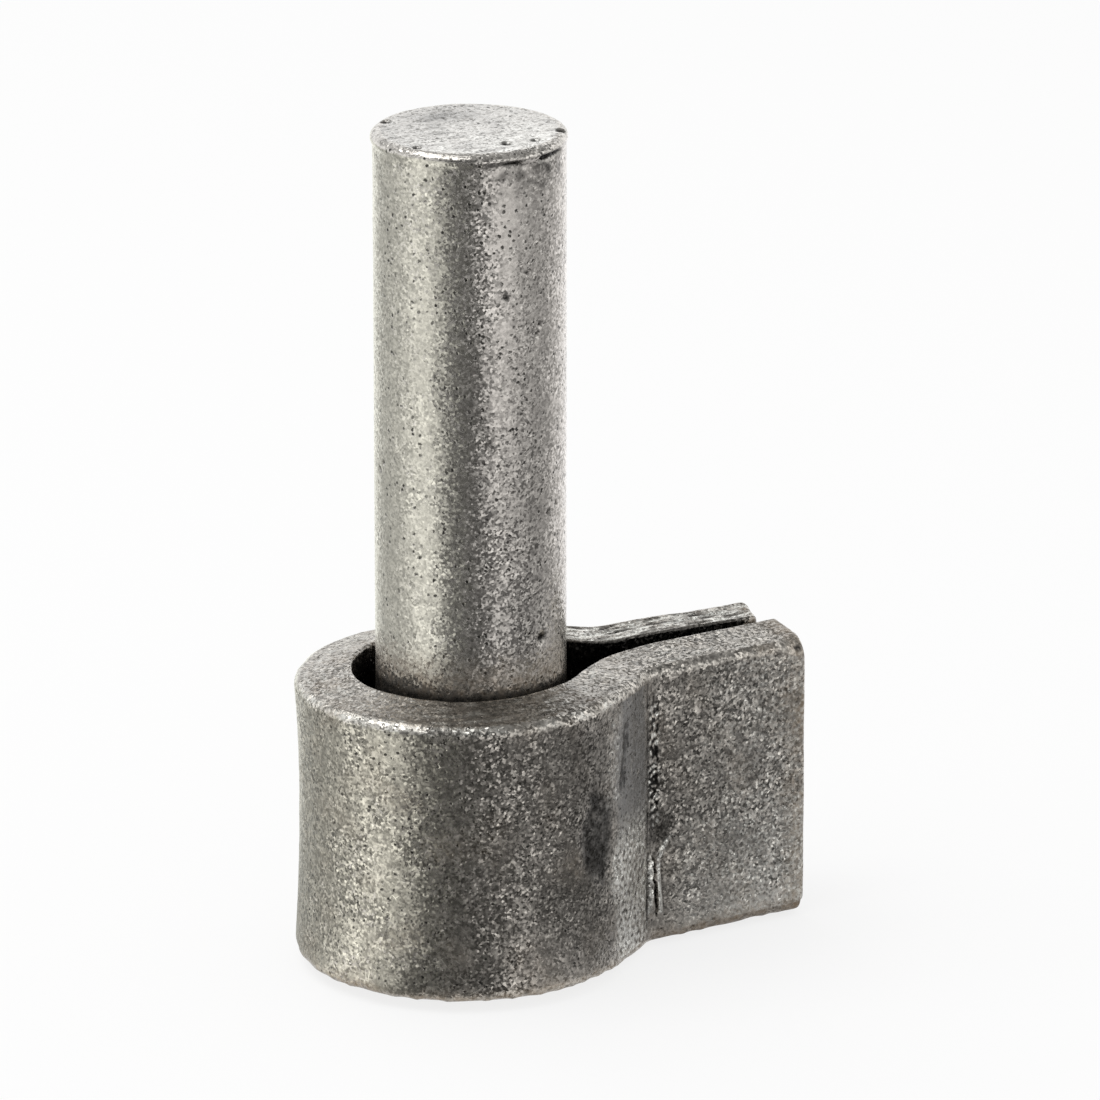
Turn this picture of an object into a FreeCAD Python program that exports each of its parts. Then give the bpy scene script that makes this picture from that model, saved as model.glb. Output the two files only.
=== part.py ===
import FreeCAD, Part
import math
import os

# Weld-on gate hinge pin, in millimetres. The pin stands on +Z with its axis through the origin,
# the gate's eye rests on the plane z = 0, and the strap's two ends run out along +X as the tail.

# The pin: a length of round bar.
pin_diameter = 16.0
pin_length = 70.0
pin_top_round = 0.6
pin_foot_chamfer = 1.2

# The flat bar that the strap is bent from.
bar_width = 25.0
bar_thickness = 5.0
bar_edge_round = 0.8

# Bending makes the bar's edges slope: the inner edge swells and the outer edge shrinks.
loop_edge_slope = 0.9
tail_edge_slope = 0.4
# It also hollows the loop's outer face a little, so that the edges flare.
loop_hollow = 0.4

# The loop is larger than the pin, and the pin sits off its centre, towards the tail.
loop_slack = 1.2
pin_offset = 0.8

# From the loop the two sides run straight at a slant and bend back into the tail.
slant_angle = 38.0
bend_radius = 2.0

# The tail: two ends that almost close on each other.
tail_reach_front = 28.9
tail_reach_rear = 27.7
tip_gap = 1.0
tip_shift = -0.4
tail_opening = 3.0
tip_corner_round = 0.9

# The weld that holds the pin, run in from below, where the pin stops short of the strap's base.
pin_foot_recess = 2.2
weld_width = 4.6
weld_recess = 0.5
weld_climb = 0.7
weld_crown_width = 1.6

pin_radius = pin_diameter / 2
loop_radius = pin_radius + loop_slack
loop_height = bar_width + loop_edge_slope
pin_foot_z = pin_foot_recess - loop_height
pin_top_z = pin_foot_z + pin_length
loop_centre = FreeCAD.Vector(-pin_offset, 0, 0)
up = FreeCAD.Vector(0, 0, 1)


def heading(degrees):
    """Level unit vector at this angle from +X."""
    angle = math.radians(degrees)
    return FreeCAD.Vector(math.cos(angle), math.sin(angle), 0)


def corner_arc(before, corner, after, radius):
    """Arc of this radius that rounds a corner, with the points where it starts and ends."""
    to_before = (before - corner).normalize()
    to_after = (after - corner).normalize()
    half_angle = to_before.getAngle(to_after) / 2
    start = corner + to_before * (radius / math.tan(half_angle))
    end = corner + to_after * (radius / math.tan(half_angle))
    inward = (to_before + to_after).normalize()
    middle = corner + inward * (radius / math.sin(half_angle) - radius)
    return Part.Arc(start, middle, end).toShape(), start, end


def bar_section(foot, outward, edge_slope, hollow):
    """Section of the bar: foot is on its inner face, outward points to its outer face.

    The section stands on the strap's base, its long edges slope by edge_slope and are rounded on the
    outer side, and its outer face is hollowed at half its height.
    """
    base = -loop_height
    top = base + bar_width + edge_slope

    def point(depth, z):
        return foot + outward * depth + up * z

    inner_low = point(0, base)
    inner_high = point(0, top)
    outer_high = point(bar_thickness, top - edge_slope)
    outer_low = point(bar_thickness, base + edge_slope)
    high_arc, high_start, high_end = corner_arc(inner_high, outer_high, outer_low, bar_edge_round)
    low_arc, low_start, low_end = corner_arc(outer_high, outer_low, inner_low, bar_edge_round)
    if hollow > 0:
        waist = point(bar_thickness - hollow, (top + base) / 2)
        outer_face = Part.Arc(high_end, waist, low_start).toShape()
    else:
        outer_face = Part.makeLine(high_end, low_start)
    edges = [
        Part.makeLine(inner_low, inner_high),
        Part.makeLine(inner_high, high_start),
        high_arc,
        outer_face,
        low_arc,
        Part.makeLine(low_end, inner_low),
    ]
    return Part.Wire(edges)


def crossing(start_a, along_a, start_b, along_b):
    """Point where two level lines cross."""
    gap = start_b - start_a
    reach = gap.cross(along_b).z / along_a.cross(along_b).z
    return start_a + along_a * reach


def tip_rounding(tip, along, outward):
    """Cutter that rounds the upright outer corner of a tail's end."""
    corner = tip + outward * bar_thickness
    arc, start, end = corner_arc(corner - along, corner, corner - outward, tip_corner_round)
    edges = [arc, Part.makeLine(end, corner), Part.makeLine(corner, start)]
    cutter = Part.Face(Part.Wire(edges)).extrude(up * -loop_height)
    return cutter


def strap_side(side, tail_reach):
    """One side of the strap from the loop to its tail's end: side is 1 for the rear and -1 for the front."""
    slant_out = heading(side * (90 - slant_angle))
    slant_along = heading(-side * slant_angle)
    tail_out = heading(side * (90 - tail_opening))
    tail_along = heading(-side * tail_opening)

    # The inner face's route: off the loop, along the slant, round the bend and out to the tip.
    loop_end = loop_centre + slant_out * loop_radius
    tip = FreeCAD.Vector(tail_reach, tip_shift + side * tip_gap / 2, 0)
    knee = crossing(loop_end, slant_along, tip, tail_along)
    bend_angle = slant_angle - tail_opening
    inner_bend_radius = bend_radius + bar_thickness
    tangent = inner_bend_radius * math.tan(math.radians(bend_angle / 2))
    bend_start = knee - slant_along * tangent
    bend_end = knee + tail_along * tangent
    bend_centre = bend_start + slant_out * inner_bend_radius

    loop_section = bar_section(loop_end, slant_out, loop_edge_slope, loop_hollow)
    slant_section = bar_section(bend_start, slant_out, tail_edge_slope, 0)
    tail_section = bar_section(bend_end, tail_out, tail_edge_slope, 0)
    slant = Part.makeLoft([loop_section, slant_section], True, True)
    bend = Part.Face(slant_section).revolve(bend_centre, up, side * bend_angle)
    tail = Part.Face(tail_section).extrude(tip - bend_end)
    return [slant, bend, tail.cut(tip_rounding(tip, tail_along, tail_out))]


def build_strap():
    """The flat bar, bent round into a loop with both ends brought together as the tail."""
    start_angle = 90 - slant_angle
    start_out = heading(start_angle)
    start = loop_centre + start_out * loop_radius
    section = bar_section(start, start_out, loop_edge_slope, loop_hollow)
    loop = Part.Face(section).revolve(loop_centre, up, 360 - 2 * start_angle)
    pieces = strap_side(1, tail_reach_rear) + strap_side(-1, tail_reach_front)
    return loop.multiFuse(pieces).removeSplitter()


def build_pin():
    """The round pin, with its top edge eased and its foot chamfered for the weld."""
    axis_low = FreeCAD.Vector(0, 0, pin_foot_z)
    axis_high = FreeCAD.Vector(0, 0, pin_top_z)
    rim = FreeCAD.Vector(pin_radius, 0, pin_top_z)
    wall_low = FreeCAD.Vector(pin_radius, 0, pin_foot_z + pin_foot_chamfer)
    end_rim = FreeCAD.Vector(pin_radius - pin_foot_chamfer, 0, pin_foot_z)
    rim_arc, rim_start, rim_end = corner_arc(axis_high, rim, wall_low, pin_top_round)
    edges = [
        Part.makeLine(axis_high, rim_start),
        rim_arc,
        Part.makeLine(rim_end, wall_low),
        Part.makeLine(wall_low, end_rim),
        Part.makeLine(end_rim, axis_low),
        Part.makeLine(axis_low, axis_high),
    ]
    return Part.Face(Part.Wire(edges)).revolve(axis_low, up, 360)


def build_weld(pin):
    """The weld bead that fills the loop round the pin's foot, raised in the middle of its width."""
    bead_inner = loop_radius - weld_width
    face_z = -loop_height + weld_recess

    def point(radius, z):
        return loop_centre + FreeCAD.Vector(radius, 0, z)

    bead_middle = loop_radius - weld_width / 2
    outline = [
        point(bead_inner, pin_foot_z),
        point(bead_middle - weld_crown_width / 2, face_z),
        point(bead_middle + weld_crown_width / 2, face_z),
        point(loop_radius, (face_z + pin_foot_z) / 2),
        point(loop_radius, pin_foot_z + weld_climb),
        point(bead_inner, pin_foot_z + weld_climb),
    ]
    profile = Part.Face(Part.makePolygon(outline + outline[:1]))
    ring = profile.revolve(loop_centre, up, 360)
    return ring.cut(pin)


os.makedirs("parts", exist_ok=True)
pin = build_pin()
pieces = {
    "hinge_pin": pin,
    "wrap_strap": build_strap(),
    "foot_weld": build_weld(pin),
}
for name, shape in pieces.items():
    print(name, "valid", shape.isValid(), "solids", len(shape.Solids), "volume", round(shape.Volume, 1))
    shape.exportStep("parts/" + name + ".step")
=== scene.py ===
import math

import bmesh
import bpy
import numpy as np
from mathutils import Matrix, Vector


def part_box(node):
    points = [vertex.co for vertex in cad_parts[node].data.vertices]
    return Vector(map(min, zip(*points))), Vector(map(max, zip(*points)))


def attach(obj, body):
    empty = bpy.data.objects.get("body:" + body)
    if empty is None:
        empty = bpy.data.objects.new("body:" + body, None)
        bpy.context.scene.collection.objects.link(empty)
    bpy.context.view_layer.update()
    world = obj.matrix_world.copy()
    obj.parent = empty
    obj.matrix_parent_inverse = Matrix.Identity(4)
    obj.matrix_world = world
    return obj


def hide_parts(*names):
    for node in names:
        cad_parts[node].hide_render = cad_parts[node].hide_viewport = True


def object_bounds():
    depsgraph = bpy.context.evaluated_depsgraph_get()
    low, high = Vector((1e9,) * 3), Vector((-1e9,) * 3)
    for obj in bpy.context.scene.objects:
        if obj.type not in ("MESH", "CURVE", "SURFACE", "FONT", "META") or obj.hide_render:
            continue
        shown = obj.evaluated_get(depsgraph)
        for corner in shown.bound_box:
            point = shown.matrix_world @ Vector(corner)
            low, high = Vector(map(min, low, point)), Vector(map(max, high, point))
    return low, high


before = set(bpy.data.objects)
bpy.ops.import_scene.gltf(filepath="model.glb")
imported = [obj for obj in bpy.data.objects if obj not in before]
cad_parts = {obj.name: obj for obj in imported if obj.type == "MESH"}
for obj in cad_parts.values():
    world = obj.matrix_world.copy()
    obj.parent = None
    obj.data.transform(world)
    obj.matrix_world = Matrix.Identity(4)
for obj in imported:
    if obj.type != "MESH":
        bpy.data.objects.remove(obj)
cad_low, cad_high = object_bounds()

# Forms are worked out in millimetres and turned into metres when a mesh is made.
MM = 0.001
pin_low, pin_high = (np.array(corner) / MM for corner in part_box("hinge_pin"))
strap_low, _ = (np.array(corner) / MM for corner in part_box("wrap_strap"))
weld_low, weld_high = (np.array(corner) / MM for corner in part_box("foot_weld"))

# The pin: a round bar, with a lip that cropping left round its top.
PIN_RADIUS = (pin_high[0] - pin_low[0]) / 2
PIN_TOP = pin_high[2]
PIN_FOOT = pin_low[2]
PIN_FOOT_CHAMFER = 1.2
PIN_RIM_WIDTH = 0.65
PIN_RIM_DROP = 0.6
PIN_LIP = 0.2
PIN_LIP_REACH = 1.25
PIN_TEAR_TURN = -68
PIN_HIDDEN_BELOW = -3.0
PIN_COLUMNS = 288
PIN_RINGS = {"top": 62, "rim": 11, "neck": 14, "wall": 205, "hidden wall": 12, "foot": 10}
PIN_WAVE_DEPTH = 0.014
PIN_TOP_GRAIN_DEPTH, PIN_WALL_GRAIN_DEPTH = 0.014, 0.004
PIN_PIT_DEPTH = 0.22
PIN_LIP_GAP_DEPTH = 0.35

# The strap: a flat bar bent round the pin, its two ends brought together as a tail.
BAR_THICKNESS = 5.0
STRAP_BASE = strap_low[2]
LOOP_CENTRE = np.array([-0.8, 0.0])
LOOP_RADIUS = 9.2
LOOP_HOLLOW = 0.36
LOOP_TUCK = 0.12
SLANT_ANGLE = 38.0
BEND_RADIUS = 2.0
BEND_BLUR = 2.0
TAIL_OPENING = 3.0
REAR, FRONT = 1, -1
TAIL_REACH = {REAR: 27.7, FRONT: 28.9}
TIP_SHIFT = -0.4
TIP_GAP = 1.0
REAR_TIP_SKEW = 0.23

# How the bar's edges and tips are rounded.
TIP_ROUND = {REAR: 0.9, FRONT: 0.55}
TIP_DROP_ROUND = 0.5
TIP_LOW_ROUND = 0.8
TIP_CORNER_GAIN = {REAR: 0.5, FRONT: 0.9}
OUTER_EDGE_ROUND = 0.85
REAR_ROUND_GAIN = 0.6
INNER_EDGE_ROUND = 0.3

# Heights of the bar's edges, the upper ones from the loop's top and the lower ones from its base, and how
# bends move them.
INNER_HIGH, INNER_HIGH_CURL, INNER_HIGH_UNCURL = -0.5, 0.5, -0.35
OUTER_HIGH, OUTER_HIGH_UNCURL, OUTER_HIGH_REAR = -0.95, 0.05, 0.4
INNER_LOW = 0.03
OUTER_LOW, OUTER_LOW_CURL = 0.4, 0.5
OUTER_LOW_TUCK = 0.03

# Points of the strap's mesh: across the bar's section and along its route.
ARC_POINTS = 7
SIDE_POINTS = {"inner": 16, "top": 20, "outer": 150, "bottom": 8}
LOOP_STATIONS = 190
SLANT_STATIONS, BEND_STATIONS, MARKED_STATIONS, TAIL_STATIONS, TIP_STATIONS = 16, 9, 14, 22, 9
MARKED_LENGTH = 3.0
CAP_RINGS = 6

# Depth of the strap's relief: on its faces, its sheared top, its outer edges and the tail's corner.
FACE_WAVE_DEPTH, FACE_GRAIN_DEPTH = 0.03, 0.008
STREAK_DEPTH, REAR_STREAK_DEPTH, REAR_GRAIN_DEPTH = 0.02, 0.07, 0.035
HIGH_EDGE_DEPTH, LOW_EDGE_DEPTH = 0.04, 0.07
TAIL_PIT_DEPTH = 0.2

# The weld bead.
WELD_WIDTH = 4.6
WELD_COLUMNS, WELD_FACE_RINGS = 400, 36
WELD_RIPPLE_TURN = 9.0
WELD_RIPPLE_BOW = 0.9
WELD_RIPPLE_DEPTH = 0.22
WELD_CLIMB = 0.6
WELD_OVERLAP = 0.9

# The camera that took the photograph, with its frame taken as 1100 x 1100 pixels.
CAMERA_AZIMUTH = -28.64
CAMERA_ELEVATION = 18.59
CAMERA_DISTANCE = 774.2 * MM
CAMERA_FOCAL_PIXELS = 9300.0
CAMERA_CLIP = (0.01, 20)
FRAME_PIXELS = 1100.0
SENSOR_WIDTH = 36.0
AIM_RIGHT_OF_PIN = 6.607 * MM
AIM_HEIGHT = 9.843 * MM

# The studio.
FLOOR_Z = cad_low[2]
FLOOR_RADIUS = 4.0
FLOOR_VERTICES = 96
FLOOR_GREY = 0.9
FLOOR_GLOW = 0.8
CARD_LIFT = 0.2
CARD_REACH = (15.5, 800)
CARD_TURNS, CARD_REACHES = 121, 40
CARD_LEVEL, CARD_DARKEST = 0.66, 0.16

WHITE = (1, 1, 1)
MID_GREY = (0.5, 0.5, 0.5)
OXIDE_COLOUR = (0.24, 0.18, 0.12)
# Near black, for pits and for painted shade in recesses, gaps and on inner faces.
PIT_AND_SHADE_COLOUR = (0.012, 0.011, 0.010)

# Sizes of the patterns in the steel, in grains.
FLAKE_GRAINS = 1.7
DIP_GRAINS = 4
LIVELY_GRAINS = 16
PATCH_GRAINS = 30
SCRATCH_GRAINS, SCRATCH_BREAK_GRAINS = 7, 5
PINHOLE_RAGGED_GRAINS, PINHOLE_CROWD_GRAINS = 0.5, 14

# What a mesh tells its material, point by point.
MASKS = ("wear_and_highlight", "oxide", "pit", "polish", "stain")

# Points closer than this, in metres, are one, and no normal is scaled up from less than this.
MERGE_DISTANCE = 1e-7
SHORTEST_NORMAL = 1e-9


def heading(degrees):
    """Level unit vectors at these angles from +X."""
    angle = np.radians(degrees)
    return np.stack([np.cos(angle), np.sin(angle)], axis=-1)


def unit(vectors):
    """Vectors scaled to length one."""
    return vectors / np.linalg.norm(vectors, axis=-1, keepdims=True)


def smooth_step(value, low, high):
    """0 below low, 1 above high, and a smooth rise between them."""
    share = np.clip((value - low) / (high - low), 0.0, 1.0)
    return share * share * (3 - 2 * share)


def window(value, low, high, soft):
    """1 between low and high, and 0 outside, with soft ends."""
    return smooth_step(value, low - soft, low + soft) * (1 - smooth_step(value, high - soft, high + soft))


def bell(value, middle, width):
    """1 at the middle, fading to both sides over about this width."""
    return np.exp(-(((value - middle) / width) ** 2))


def wrapped(degrees):
    """Angle brought to between -180 and 180 degrees."""
    return (degrees + 180) % 360 - 180


def ripple(points, wavelength, seed, waves=24):
    """Smooth random field of unit strength: plane waves of about this length in random directions."""
    random = np.random.default_rng(seed)
    directions = unit(random.normal(size=(waves, 3)))
    lengths = wavelength * random.uniform(0.7, 1.5, (waves, 1))
    phases = random.uniform(0, 2 * np.pi, waves)
    angles = points @ (directions * 2 * np.pi / lengths).T + phases
    return np.sin(angles).sum(axis=-1) * np.sqrt(2 / waves)


def spots(across, height, places):
    """Mask of round spots at places given as across, height and radius."""
    mask = np.zeros(np.broadcast(across, height).shape)
    for spot_across, spot_height, radius in places:
        away = np.hypot(across - spot_across, height - spot_height)
        mask = np.maximum(mask, 1 - smooth_step(away, radius * 0.55, radius * 1.25))
    return mask


def grid_faces(rows, columns, wrap_columns=True, wrap_rows=False):
    """Quads of a grid of vertices, closed round its columns or rows where asked."""
    last_row = rows if wrap_rows else rows - 1
    last_column = columns if wrap_columns else columns - 1
    row, column = np.meshgrid(np.arange(last_row), np.arange(last_column), indexing="ij")
    next_row = (row + 1) % rows
    next_column = (column + 1) % columns
    corners = [
        row * columns + column,
        row * columns + next_column,
        next_row * columns + next_column,
        next_row * columns + column,
    ]
    return np.stack([corner.ravel() for corner in corners], axis=1)


def grid_normals(grid):
    """Unit normals of a grid of points that is closed round its columns."""
    along = np.gradient(grid, axis=0)
    across = np.roll(grid, -1, axis=1) - np.roll(grid, 1, axis=1)
    normals = np.cross(along, across)
    return normals / np.maximum(np.linalg.norm(normals, axis=-1, keepdims=True), SHORTEST_NORMAL)


def add_attribute(mesh, name, values):
    """Value at each point of a mesh, for its material to read."""
    attribute = mesh.attributes.new(name, "FLOAT", "POINT")
    attribute.data.foreach_set("value", values.ravel().astype(np.float32))


def add_piece(name, grid, faces, material, node, masks):
    """Smooth mesh piece in place of a solid, with masks that its material reads as attributes."""
    points = np.clip(grid.reshape(-1, 3) * MM, cad_low, cad_high)
    mesh = bpy.data.meshes.new(name)
    mesh.from_pydata(points.tolist(), [], faces.tolist())
    for mask_name in MASKS:
        values = np.broadcast_to(masks.get(mask_name, 0.0), grid.shape[:-1])
        add_attribute(mesh, mask_name, np.clip(values, 0, 1))
    cleaned = bmesh.new()
    cleaned.from_mesh(mesh)
    bmesh.ops.remove_doubles(cleaned, verts=cleaned.verts, dist=MERGE_DISTANCE)
    bmesh.ops.recalc_face_normals(cleaned, faces=cleaned.faces)
    cleaned.to_mesh(mesh)
    cleaned.free()
    mesh.shade_smooth()
    mesh.materials.append(material)
    piece = bpy.data.objects.new(name, mesh)
    bpy.context.scene.collection.objects.link(piece)
    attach(piece, "root")
    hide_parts(node)


class Graph:
    """Short way to add shader nodes to a material or world and to join them."""

    def __init__(self, owner):
        owner.use_nodes = True
        self.tree = owner.node_tree
        self.tree.nodes.clear()

    def add(self, kind, inputs=None, **settings):
        """Node of this kind, whose inputs are given as values or as sockets to join."""
        node = self.tree.nodes.new(kind)
        for name, value in settings.items():
            setattr(node, name, value)
        for name, value in (inputs or {}).items():
            if isinstance(value, bpy.types.NodeSocket):
                self.tree.links.new(value, node.inputs[name])
            else:
                node.inputs[name].default_value = value
        return node

    def noise(self, place, size, detail=2.0, roughness=0.5):
        """Noise whose grains are about this size, in metres."""
        inputs = {"Vector": place, "Scale": 1 / size, "Detail": detail, "Roughness": roughness}
        return self.add("ShaderNodeTexNoise", inputs).outputs["Fac"]

    def cells(self, place, size, feature="F1", output="Distance"):
        """Random cells of about this size, in metres: distance to middles or borders, or a colour each."""
        inputs = {"Vector": place, "Scale": 1 / size}
        return self.add("ShaderNodeTexVoronoi", inputs, feature=feature).outputs[output]

    def remap(self, value, low, high, to_low=0.0, to_high=1.0):
        """Value carried from one range to another and kept inside it."""
        inputs = {"Value": value, "From Min": low, "From Max": high, "To Min": to_low, "To Max": to_high}
        return self.add("ShaderNodeMapRange", inputs).outputs["Result"]

    def math(self, operation, first, second):
        return self.add("ShaderNodeMath", {0: first, 1: second}, operation=operation).outputs["Value"]

    def vector(self, operation, inputs):
        return self.add("ShaderNodeVectorMath", inputs, operation=operation).outputs["Vector"]

    def mix(self, share, first, second):
        """Blend of two colours, each a value or a socket."""
        node = self.add("ShaderNodeMix", {"Factor": share}, data_type="RGBA")
        for name, value in (("A", first), ("B", second)):
            socket = next(s for s in node.inputs if s.name == name and s.type == "RGBA")
            if isinstance(value, bpy.types.NodeSocket):
                self.tree.links.new(value, socket)
            else:
                socket.default_value = (*value, 1.0)
        return next(s for s in node.outputs if s.type == "RGBA")

    def split(self, colour):
        """Red, green and blue of a colour."""
        return self.add("ShaderNodeSeparateColor", {"Color": colour}).outputs

    def attribute(self, name):
        return self.add("ShaderNodeAttribute", attribute_name=name).outputs["Fac"]

    def finish(self, shader, kind="ShaderNodeOutputMaterial"):
        self.tree.links.new(shader.outputs[0], self.add(kind).inputs["Surface"])


def scaled(colour, factor):
    """Colour made lighter or darker."""
    return tuple(min(1.0, channel * factor) for channel in colour)


def neutral(colour):
    """Grey as light as this colour, a touch cool."""
    grey = sum(colour) / 3
    return (grey * 0.98, grey, grey * 1.01)


def facet_tone(graph, place, colour, grain, contrast, facet, lively, medium):
    """Steel's own colour: facets lighter and darker than it, dark dips and faint wide patches."""
    flakes = graph.split(graph.cells(place, grain * FLAKE_GRAINS, output="Color"))
    fine = graph.math("MULTIPLY", facet["Red"], 0.65)
    coarse = graph.math("MULTIPLY", flakes["Red"], 0.35)
    speckle = graph.remap(graph.math("ADD", fine, coarse), low=0.22, high=0.78)
    speckle = graph.mix(lively, MID_GREY, speckle)
    dips = graph.remap(medium, low=0.56, high=0.40, to_high=contrast * 0.5)
    patches = graph.noise(place, grain * PATCH_GRAINS, detail=3.0, roughness=0.6)
    patches = graph.remap(patches, low=0.56, high=0.36, to_high=0.20)
    tone = graph.mix(speckle, scaled(colour, 1 - contrast), scaled(colour, 1 + contrast))
    tone = graph.mix(dips, tone, scaled(colour, 0.4))
    return graph.mix(patches, tone, scaled(colour, 0.6))


def scratch_mask(graph, place, grain, scratching):
    """Short scratches along the borders of large random cells."""
    border = graph.cells(place, grain * SCRATCH_GRAINS, feature="DISTANCE_TO_EDGE")
    line = graph.remap(border, low=0.008, high=0.028, to_low=1.0, to_high=0.0)
    short = graph.noise(place, grain * SCRATCH_BREAK_GRAINS, detail=1.0)
    short = graph.remap(short, low=0.60, high=0.66, to_high=scratching)
    return graph.math("MULTIPLY", line, short)


def pinhole_mask(graph, place, lean, grain, pinholes, pinhole_gap):
    """Ragged pinholes, left out of some cells and crowded in places."""
    ragged = graph.vector("SCALE", {0: lean, "Scale": grain * PINHOLE_RAGGED_GRAINS})
    ragged = graph.vector("ADD", {0: place, 1: ragged})
    hole = graph.remap(graph.cells(ragged, pinhole_gap), low=0.18, high=0.31, to_low=1.0, to_high=0.0)
    chance = graph.split(graph.cells(ragged, pinhole_gap, output="Color"))
    hole = graph.math("MULTIPLY", hole, graph.remap(chance["Green"], low=0.2, high=0.5))
    crowded = graph.noise(place, grain * PINHOLE_CROWD_GRAINS)
    crowded = graph.remap(crowded, low=0.40, high=0.56, to_low=0.4)
    return graph.math("MULTIPLY", hole, graph.math("MULTIPLY", crowded, pinholes))


def raw_steel(name, colour, grain, contrast, tilt, roughness, dents, scratching, pinholes, pinhole_gap):
    """Bare steel: facets of their own tone and tilt, scratched and pinholed, brown where oxidised, with
    painted shade and painted highlights where its masks say.
    """
    material = bpy.data.materials.new(name)
    graph = Graph(material)
    place = graph.add("ShaderNodeTexCoord").outputs["Object"]
    bright = scaled(colour, 1 + contrast * 1.3)
    medium = graph.noise(place, grain * DIP_GRAINS, detail=2.0, roughness=0.6)
    facets = graph.cells(place, grain, output="Color")
    facet = graph.split(facets)

    # The facets show less in some places, and least where the steel is polished.
    calm = graph.attribute("polish")
    lively = graph.noise(place, grain * LIVELY_GRAINS, detail=3.0, roughness=0.6)
    lively = graph.remap(lively, low=0.36, high=0.62, to_low=0.5)
    lively = graph.math("MULTIPLY", lively, graph.remap(calm, low=0.0, high=1.0, to_low=1.0, to_high=0.3))
    tone = facet_tone(graph, place, colour, grain, contrast, facet, lively, medium)
    tone = graph.mix(graph.math("MULTIPLY", calm, 0.6), tone, neutral(colour))

    tone = graph.mix(scratch_mask(graph, place, grain, scratching), tone, scaled(bright, 1.15))
    lean = graph.vector("SUBTRACT", {0: facets, 1: MID_GREY})
    hole = pinhole_mask(graph, place, lean, grain, pinholes, pinhole_gap)
    tone = graph.mix(hole, tone, scaled(colour, 0.06))

    oxide = graph.remap(medium, low=0.35, high=0.62, to_low=0.35)
    oxide = graph.math("MULTIPLY", graph.attribute("oxide"), oxide)
    wear_and_highlight = graph.remap(facet["Green"], low=0.2, high=0.8, to_low=0.35, to_high=1.5)
    wear_and_highlight = graph.math("MULTIPLY", graph.attribute("wear_and_highlight"), wear_and_highlight)
    # The stain and pit masks also lay painted shade, and the worn mask painted highlights.
    tone = graph.mix(oxide, tone, OXIDE_COLOUR)
    tone = graph.mix(graph.attribute("stain"), tone, scaled(colour, 0.12))
    tone = graph.mix(wear_and_highlight, tone, scaled(bright, 1.25))
    tone = graph.mix(graph.attribute("pit"), tone, PIT_AND_SHADE_COLOUR)

    height = graph.math("SUBTRACT", medium, hole)
    bump = graph.add("ShaderNodeBump", {"Height": height, "Distance": dents, "Strength": 1.0})
    tilted = graph.vector("SCALE", {0: lean, "Scale": graph.math("MULTIPLY", lively, tilt)})
    normal = graph.vector("ADD", {0: bump.outputs["Normal"], 1: tilted})
    dull, sharp = roughness + 0.05, roughness - 0.05
    steel = {
        "Base Color": tone,
        "Roughness": graph.remap(facet["Blue"], low=0.0, high=1.0, to_low=sharp, to_high=dull),
        "Metallic": graph.remap(oxide, low=0.0, high=1.0, to_low=1.0, to_high=0.3),
        "Normal": graph.vector("NORMALIZE", {0: normal}),
    }
    graph.finish(graph.add("ShaderNodeBsdfPrincipled", steel))
    return material


def pin_rings(turn, torn):
    """Radii and heights of the pin's rings, from top to foot, and the gap under its lip."""
    columns = np.ones(PIN_COLUMNS)
    circle = np.concatenate([heading(turn), np.zeros((PIN_COLUMNS, 1))], axis=1) * PIN_RADIUS
    lip = PIN_LIP * (0.85 + 0.6 * torn + 0.18 * ripple(circle, wavelength=5.0, seed=21))
    rim_start = PIN_RADIUS - PIN_RIM_WIDTH
    rim_turn = np.linspace(0, np.pi / 2, PIN_RINGS["rim"])[:, None]
    rim_radii = rim_start + (PIN_RIM_WIDTH + lip) * np.sin(rim_turn)
    rim_drop = PIN_RIM_DROP * (1 - np.cos(rim_turn)) * columns

    neck_drop = np.linspace(PIN_RIM_DROP, PIN_LIP_REACH, PIN_RINGS["neck"])[1:, None]
    neck_radii = PIN_RADIUS + lip * (1 - smooth_step(neck_drop, PIN_RIM_DROP, PIN_LIP_REACH))
    uneven = ripple(circle, wavelength=1.6, seed=22) + wrapped(turn - PIN_TEAR_TURN) / 18
    broken = smooth_step(uneven, low=-2.2, high=-0.2)
    gap = torn * broken * bell(neck_drop, middle=PIN_RIM_DROP + 0.32, width=0.22)
    neck_radii = neck_radii - PIN_LIP_GAP_DEPTH * gap

    wall_top = PIN_TOP - PIN_LIP_REACH
    wall_foot = PIN_FOOT + PIN_FOOT_CHAMFER
    wall_heights = np.concatenate([
        np.linspace(wall_top, PIN_HIDDEN_BELOW, PIN_RINGS["wall"])[1:],
        np.linspace(PIN_HIDDEN_BELOW, wall_foot, PIN_RINGS["hidden wall"]),
    ])
    inner_radii = np.linspace(0.0, rim_start, PIN_RINGS["top"])[:-1, None] * columns
    foot_radii = np.linspace(PIN_RADIUS - PIN_FOOT_CHAMFER, 0.0, PIN_RINGS["foot"])[:, None] * columns
    wall_radii = np.full((len(wall_heights), PIN_COLUMNS), PIN_RADIUS)
    radii = np.concatenate([inner_radii, rim_radii, neck_radii, wall_radii, foot_radii])
    heights = np.concatenate([
        np.full(inner_radii.shape, PIN_TOP),
        PIN_TOP - rim_drop,
        PIN_TOP - neck_drop * columns,
        wall_heights[:, None] * columns,
        np.full(foot_radii.shape, PIN_FOOT),
    ])
    rings_above = len(inner_radii) + len(rim_radii)
    rings_below = len(wall_radii) + len(foot_radii)
    return radii, heights, np.pad(gap, ((rings_above, rings_below), (0, 0)))


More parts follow.
